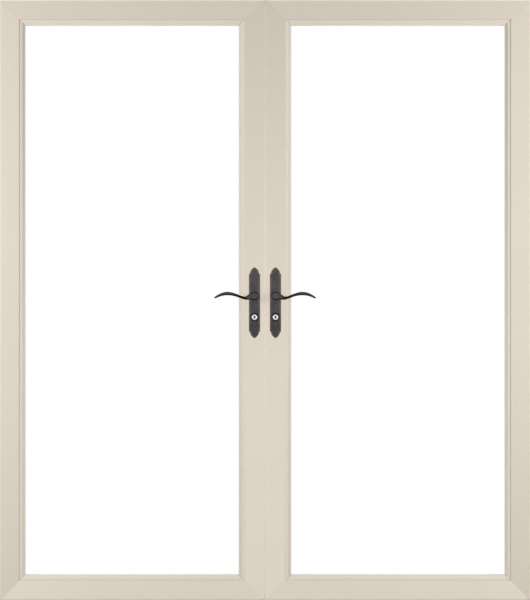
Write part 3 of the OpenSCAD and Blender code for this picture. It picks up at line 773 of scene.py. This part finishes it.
# The plate's thickness in two parts, and the widths of its sloped border and softened edges
BASE, RISE, BORDER, PLATE_SOFT = 0.003, 0.005, 0.0046, 0.0005


def model_plate(name):
    piece = start(
        bpy.ops.mesh.primitive_plane_add, name, size=1.0, location=plate_mid,
        rotation=FACING_FRONT)
    straight = half_h - STEP
    scale(plate_mid, 2 * half_w, 1.0, 2 * straight)
    for end in (1, -1):
        pick(piece, lambda p: (p.z - plate_mid.z) * end > straight - 10 * TOUCHING)
        width, height = half_w, straight
        for next_width, from_tip in ARCH:
            next_height = half_h - from_tip
            push(z=end * (next_height - height))
            scale(plate_mid, next_width / width)
            width, height = next_width, next_height
    bpy.ops.mesh.select_all(action="SELECT")
    bpy.ops.mesh.dissolve_faces()
    push(y=-BASE)
    bpy.ops.mesh.inset(thickness=BORDER, depth=RISE)
    close(piece)
    soften(piece, PLATE_SOFT, 28)
    return piece


rose = turned("rose", lever_axis, [
    (10.62, 6.0), (13.5, 6.2), (13.5, 10.2), (13.3, 11.6), (12.8, 12.6), (12.2, 13.0),
    (11.7, 12.5), (11.2, 11.0), (10.7, 9.6)], hollow=True)
collar = turned("collar", key_axis, [
    (9.85, 6.0), (13.3, 6.2), (13.3, 9.4), (13.0, 10.4), (12.4, 11.0), (11.5, 10.9),
    (10.5, 10.4), (9.9, 9.7)], hollow=True)
front_plate = join([model_plate("plate"), rose, collar], "left_front_backplate")
print("plate has", len(front_plate.data.polygons), "faces")

# %% [markdown]
# ## Lever
# The lever is a wave: it leaves the round head low, rises to a hump and drops to a thin
# tip. Its front has a ridge between two facets, so the upper one catches light and the
# lower one stays dark. A ring of twelve points is shaped into that section and then
# pushed and scaled through stations along the wave. Subdivision rounds it, and a crease
# on the ridge keeps that line. The head and neck are turned.

# %% Lay out the lever's wave
lever_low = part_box("left_front_lever")[0]
# How far the back of the blade stands off the leaf
BLADE_BACK = 0.0405
blade_y = (lever_low.y + leaf_front - BLADE_BACK) / 2
lever_len = lever_axis.x - lever_low.x
# Each station's reach and rise, then half its height and depth, as shares of the length
Station = namedtuple("Station", "reach rise half_h half_d")
STATIONS = [Station(*shares) for shares in (
    (0.03, -0.004, 0.088, 0.046), (0.09, -0.014, 0.084, 0.047), (0.16, -0.034, 0.064, 0.046),
    (0.20, -0.050, 0.047, 0.044), (0.233, -0.057, 0.038, 0.043), (0.316, -0.037, 0.034, 0.042),
    (0.40, -0.004, 0.035, 0.043), (0.474, 0.026, 0.038, 0.044), (0.58, 0.054, 0.043, 0.045),
    (0.677, 0.062, 0.045, 0.045), (0.77, 0.050, 0.042, 0.043), (0.857, 0.024, 0.036, 0.038),
    (0.95, -0.024, 0.029, 0.030), (0.998, -0.050, 0.019, 0.018))]
# Depth and height round the section, starting at the ridge
RIDGE, RIDGE_CREASE = -0.15, 0.55
SECTION = [
    (-1.0, RIDGE), (-0.66, -0.66), (-0.36, -0.90), (0.0, -1.0), (0.42, -0.88), (0.78, -0.55),
    (1.0, 0.0), (0.78, 0.55), (0.42, 0.88), (0.0, 1.0), (-0.38, 0.84), (-0.70, 0.42),
]


def on_wave(station, depth=0.0, height=0.0):
    """A point of the station's section, or its middle."""
    shares = Vector((
        -station.reach, depth * station.half_d, station.rise + height * station.half_h))
    return Vector((lever_axis.x, blade_y, lever_axis.z)) + shares * lever_len


print("lever is", round(lever_len * 1000, 1), "mm long, with", len(STATIONS), "stations")

# %% Model the left front lever
RING_RADIUS = 0.01


def model_blade(name):
    first = STATIONS[0]
    piece = start(
        bpy.ops.mesh.primitive_circle_add, name, vertices=len(SECTION), radius=RING_RADIUS,
        fill_type="NOTHING", location=on_wave(first), rotation=(0, math.radians(90), 0))
    for index, (depth, height) in enumerate(SECTION):
        here = places(piece)[index]
        pick(piece, lambda p: (p - here).length < TOUCHING / 10)
        bpy.ops.transform.translate(value=on_wave(first, depth, height) - here)
    bpy.ops.mesh.select_all(action="SELECT")
    bpy.ops.mesh.edge_face_add()
    for last, station in zip(STATIONS, STATIONS[1:]):
        middle = on_wave(station)
        step = middle - on_wave(last)
        push(x=step.x, z=step.z)
        scale(middle, 1.0, station.half_d / last.half_d, station.half_h / last.half_h)
    ridge = [on_wave(station, -1.0, RIDGE) for station in STATIONS]
    pick(piece, lambda p: any((p - place).length < 10 * TOUCHING for place in ridge))
    bpy.ops.transform.edge_crease(value=RIDGE_CREASE)
    close(piece)
    finish_with(piece, "SUBSURF", levels=2, render_levels=2)
    return piece


neck = turned("neck", lever_axis, [
    (10.4, 0.5), (10.4, 14.0), (10.1, 17.5), (9.3, 22.0), (9.0, 28.0), (9.5, 34.0),
    (11.0, 39.0), (12.4, 42.0), (13.1, 45.5), (13.2, 48.5), (12.9, 51.0), (12.1, 53.2),
    (10.6, 54.6), (8.4, 55.3), (5.5, 55.5)])
front_lever = join([model_blade("blade"), neck], "left_front_handle")
print("lever has", len(front_lever.data.polygons), "faces")

# %% [markdown]
# ## The other three handles
# The right handle mirrors the left one about the meeting line, and the ones inside mirror
# those in front about the middle of the leaf's thickness. Each copy has its own mesh, and
# mirroring turns a mesh inside out, so its normals are made consistent again.

# %% Copy the plate and lever to all four places
leaf_mid_y = lever_axis.y


def mirrored(piece, name, across_x, across_y):
    copy = duplicate(piece)
    copy.name = copy.data.name = name
    bpy.ops.object.mode_set(mode="EDIT")
    bpy.ops.mesh.select_all(action="SELECT")
    scale((0, leaf_mid_y, 0), -1.0 if across_x else 1.0, -1.0 if across_y else 1.0)
    return close(copy)


for piece, kind, body, coat in (
        (front_plate, "plate", "leaf", plate_bronze),
        (front_lever, "lever", "lever", lever_bronze)):
    finished = piece.name.rsplit("_", 1)[1]
    copies = {("left", "front"): piece}
    for side, face in (("left", "back"), ("right", "front"), ("right", "back")):
        copies[side, face] = mirrored(
            piece, f"{side}_{face}_{finished}", side == "right", face == "back")
    for (side, face), copy in copies.items():
        dress(copy, coat, f"{side}_{body}")
        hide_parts(f"{side}_{face}_{kind}")
        copy.visible_shadow = copy.visible_diffuse = False
    print(kind, "stands in", len(copies), "places")

# %% [markdown]
# ## Screws
# Countersunk screws hold the hinges, the lock's edge plates, the keepers, the tread and
# the plates inside. They are too small for the solids, so one is modelled here and copied.
# A plane is pushed out on its four sides into a cross, and a circle is bridged round it
# for the head. The cross is then sunk for the driver, and the rim is pushed down into
# the countersink. Every head is turned a little further than the last, since a fitter
# stops when the screw is tight and not when the cross stands straight.

# %% Model one screw
HEAD, HEAD_SIDES = 0.004, 24
# The cross, the rim's steps outwards and down, and the softened edge
ARM, TIP, PROUD = 0.15 * HEAD, 0.58 * HEAD, 0.10 * HEAD
CROSS_DEPTH, CROSS_TAPER = 0.45 * HEAD, 0.55
RIM_STEPS = ((1.03, 0.05 * HEAD), (0.62, 0.55 * HEAD))
SCREW_SOFT = 0.04 * HEAD
# Faces narrower than this are dissolved
SLIVER = 3e-6


def on_end(point, x, z):
    """Whether a point lies on the end of the arm that goes along x or z."""
    return (point.x * x + point.z * z > ARM - TOUCHING
            and abs(point.x * z + point.z * x) < ARM + TOUCHING)


def from_centre(point):
    return math.hypot(point.x, point.z)


def model_screw(name):
    """A head at the origin that faces -y."""
    piece = start(
        bpy.ops.mesh.primitive_plane_add, name, size=2 * ARM, location=(0, -PROUD, 0),
        rotation=FACING_FRONT)
    for x, z in ((1, 0), (-1, 0), (0, 1), (0, -1)):
        pick(piece, lambda p: on_end(p, x, z))
        push(x=x * (TIP - ARM), z=z * (TIP - ARM))
    bpy.ops.mesh.select_all(action="SELECT")
    bpy.ops.mesh.subdivide(number_cuts=1)
    bpy.ops.mesh.primitive_circle_add(
        vertices=HEAD_SIDES, radius=HEAD, location=(0, 0, 0), rotation=FACING_FRONT)
    pick(piece, lambda p: min(abs(p.x), abs(p.z)) > TOUCHING
         or max(abs(p.x), abs(p.z)) > TIP - TOUCHING)
    bpy.ops.mesh.bridge_edge_loops()
    pick(piece, lambda p: max(abs(p.x), abs(p.z)) < TIP + TOUCHING)
    push(y=CROSS_DEPTH)
    scale((0, CROSS_DEPTH - PROUD, 0), CROSS_TAPER, 1.0, CROSS_TAPER)
    for out, down in RIM_STEPS:
        edge = max(from_centre(p) for p in places(piece))
        low = max(p.y for p in places(piece) if from_centre(p) > edge - TOUCHING)
        pick(piece, lambda p: from_centre(p) > edge - TOUCHING and p.y > low - TOUCHING)
        push(y=down)
        scale((0, low + down, 0), out, 1.0, out)
    bpy.ops.mesh.edge_face_add()
    close(piece)
    soften(piece, SCREW_SOFT, 35)
    bpy.ops.object.mode_set(mode="EDIT")
    bpy.ops.mesh.select_all(action="SELECT")
    bpy.ops.mesh.dissolve_degenerate(threshold=SLIVER)
    return close(piece)


screw = model_screw("screw")
print("screw has", len(screw.data.polygons), "faces")

# %% [markdown]
# ## Setting the screws
# A screw belongs where the solid has a plate to hold: three in each hinge plate, one at
# each end of a lock's edge plate, two in each keeper, two in each inside plate, and a row
# along the tread. The places come from the solids' own boxes. The heads that go with one
# solid are joined and ride on its body.

# %% Copy a screw to a list of places
FIRST_TURN, NEXT_TURN = 0.3, 0.7


def set_screws(name, body, radius, facing, spots, coat=zinc_steel):
    heads = []
    for count, spot in enumerate(spots):
        head = duplicate(screw)
        driven = Quaternion((0, 1, 0), FIRST_TURN + NEXT_TURN * count)
        turn = Vector(facing).to_track_quat("-Y", "Z") @ driven
        head.location, head.rotation_euler = spot, turn.to_euler()
        head.scale = (radius / HEAD,) * 3
        bpy.ops.object.transform_apply(location=True, rotation=True, scale=True)
        heads.append(head)
    dress(join(heads, name), coat, body)
    print(len(heads), "screws in", name)


print("each head is turned", NEXT_TURN, "radians further than the last")

# %% Set the screws of both leaves and the frame
HINGE_HEAD, LOCK_HEAD, TREAD_HEAD, SMALL_HEAD = 0.0038, 0.0035, 0.0034, 0.0032
# Half a hinge's height, its plates' thickness, and how far out its jamb screws lie
HINGE_HALF, HINGE_PLATE, JAMB_OUT = 0.05, 0.0025, 0.0184
JAMB_RISES = (-0.035, 0, 0.035)
# Depth behind the leaf's face and rise of the screws in a leaf's hinge plate
LEAF_SPOTS = ((0.012, -0.036), (0.028, 0), (0.012, 0.036))
LOCK_INSET, KEEPER_SHIFTS, PLATE_RISES = 0.012, (-0.022, 0.022), (-0.08, 0.08)
TREAD_PLACES = (-0.80, -0.46, -0.17, 0.17, 0.46, 0.80)

hinges_low, hinges_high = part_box("left_frame_hinge_leaves")
hinge_levels = (
    hinges_low.z + HINGE_HALF, (hinges_low.z + hinges_high.z) / 2, hinges_high.z - HINGE_HALF)
jamb_x = abs(axes["left_leaf_swing"].x) + JAMB_OUT
jamb_y = hinges_high.y - HINGE_PLATE
leaf_edge_x = abs(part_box("left_leaf_hinge_leaves")[1].x) + HINGE_PLATE
lock_low, lock_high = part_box("left_lock_case")
rod_low, rod_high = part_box("left_top_rod")
rod_x = abs((rod_low.x + rod_high.x) / 2)
keeper_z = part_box("head_keepers")[0].z
back_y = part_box("left_back_plate")[1].y
tread_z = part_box("sill_tread")[1].z
for side, sign in SIDES.items():
    leaf = f"{side}_leaf"
    set_screws(f"{side}_jamb_hinge_screws", "frame", HINGE_HEAD, (0, -1, 0), [
        (sign * jamb_x, jamb_y, level + rise) for level in hinge_levels for rise in JAMB_RISES])
    set_screws(f"{side}_leaf_hinge_screws", leaf, HINGE_HEAD, (sign, 0, 0), [
        (sign * leaf_edge_x, leaf_front + depth, level + rise)
        for level in hinge_levels for depth, rise in LEAF_SPOTS])
    set_screws(f"{side}_lock_screws", leaf, LOCK_HEAD, (-sign, 0, 0), [
        (sign * meeting_edge, leaf_mid_y, z)
        for z in (lock_low.z + LOCK_INSET, lock_high.z - LOCK_INSET)])
    set_screws(f"{side}_keeper_screws", "frame", SMALL_HEAD, (0, 0, -1), [
        (sign * (rod_x + shift), leaf_mid_y, keeper_z) for shift in KEEPER_SHIFTS])
    set_screws(f"{side}_inside_plate_screws", leaf, SMALL_HEAD, (0, 1, 0), [
        (sign * abs(lever_axis.x), back_y, plate_mid.z + rise) for rise in PLATE_RISES],
        lever_bronze)
set_screws("tread_screws", "frame", TREAD_HEAD, (0, 0, 1), [
    (x, leaf_mid_y, tread_z) for x in TREAD_PLACES])
bpy.data.objects.remove(screw)

# %% [markdown]
# ## Studio
# The doors stand on a pale floor in a white studio. A softbox on each side in front
# lights the leaf that is nearer to it from its hinge side, which is why the beads on the
# hinge stiles turn dark and those on the meeting stiles stay light. The world fills in
# evenly, and shows as plain white to the camera, in reflections and through the glass.
# The floor fades into that white before its edge can be seen.

# %% White background
WHITE = rgb(1, 1, 1)
FILL = 0.55
scene = bpy.context.scene
scene.view_settings.view_transform = "Standard"


def in_sight(finish):
    """1 for what the camera sees, whether straight, mirrored or through glass."""
    straight, reflected, through = (
        finish.node("ShaderNodeLightPath", out=f"Is {kind} Ray")
        for kind in ("Camera", "Glossy", "Transmission"))
    return straight.most(reflected).most(through)


scene.world = bpy.data.worlds.new("white_studio")
studio = Finish("white_studio", scene.world, "Background")
studio.set(Color=WHITE, Strength=FILL + (1 - FILL) * in_sight(studio))
print("white world that fills in at", FILL)

# %% Floor
FLOOR_SIZE, FADE = 6.0, (1.6, 2.9)
floor = start(
    bpy.ops.mesh.primitive_plane_add, "studio_floor", size=FLOOR_SIZE, location=(0, 0, 0))
close(floor)
pale = Finish("pale_floor")
pale.set(Base_Color=rgb(0.82, 0.82, 0.81), Roughness=0.6)
x, y, _ = pale.place()
faded = ((x * x + y * y) ** 0.5).rise(*FADE) * in_sight(pale)
glow = pale.node("ShaderNodeEmission", inputs={"Color": WHITE, "Strength": 1.0})
surface = pale.node("ShaderNodeMixShader", inputs={
    0: faded, 1: Wire(pale, pale.shader.outputs[0]), 2: glow})
pale.feed(pale.tree.nodes["Material Output"].inputs["Surface"], surface)
floor.data.materials.append(pale.material)
print("floor fades to white from", FADE[0], "m")

# %% Softboxes
SOFTBOX_W, SOFTBOX_H, SOFTBOX_POWER = 0.9, 1.9, 22.0
for side, sign in SIDES.items():
    lamp = bpy.data.lights.new(f"{side}_softbox", "AREA")
    lamp.shape = "RECTANGLE"
    lamp.size, lamp.size_y = SOFTBOX_W, SOFTBOX_H
    lamp.energy = SOFTBOX_POWER
    box = bpy.data.objects.new(f"{side}_softbox", lamp)
    stand, aim = Vector((sign * 2.2, -1.1, 1.45)), Vector((sign * 0.3, 0, 1.2))
    box.location = stand
    box.rotation_euler = (aim - stand).to_track_quat("-Z", "Y").to_euler()
    scene.collection.objects.link(box)
print("studio lit by two softboxes and a white world")
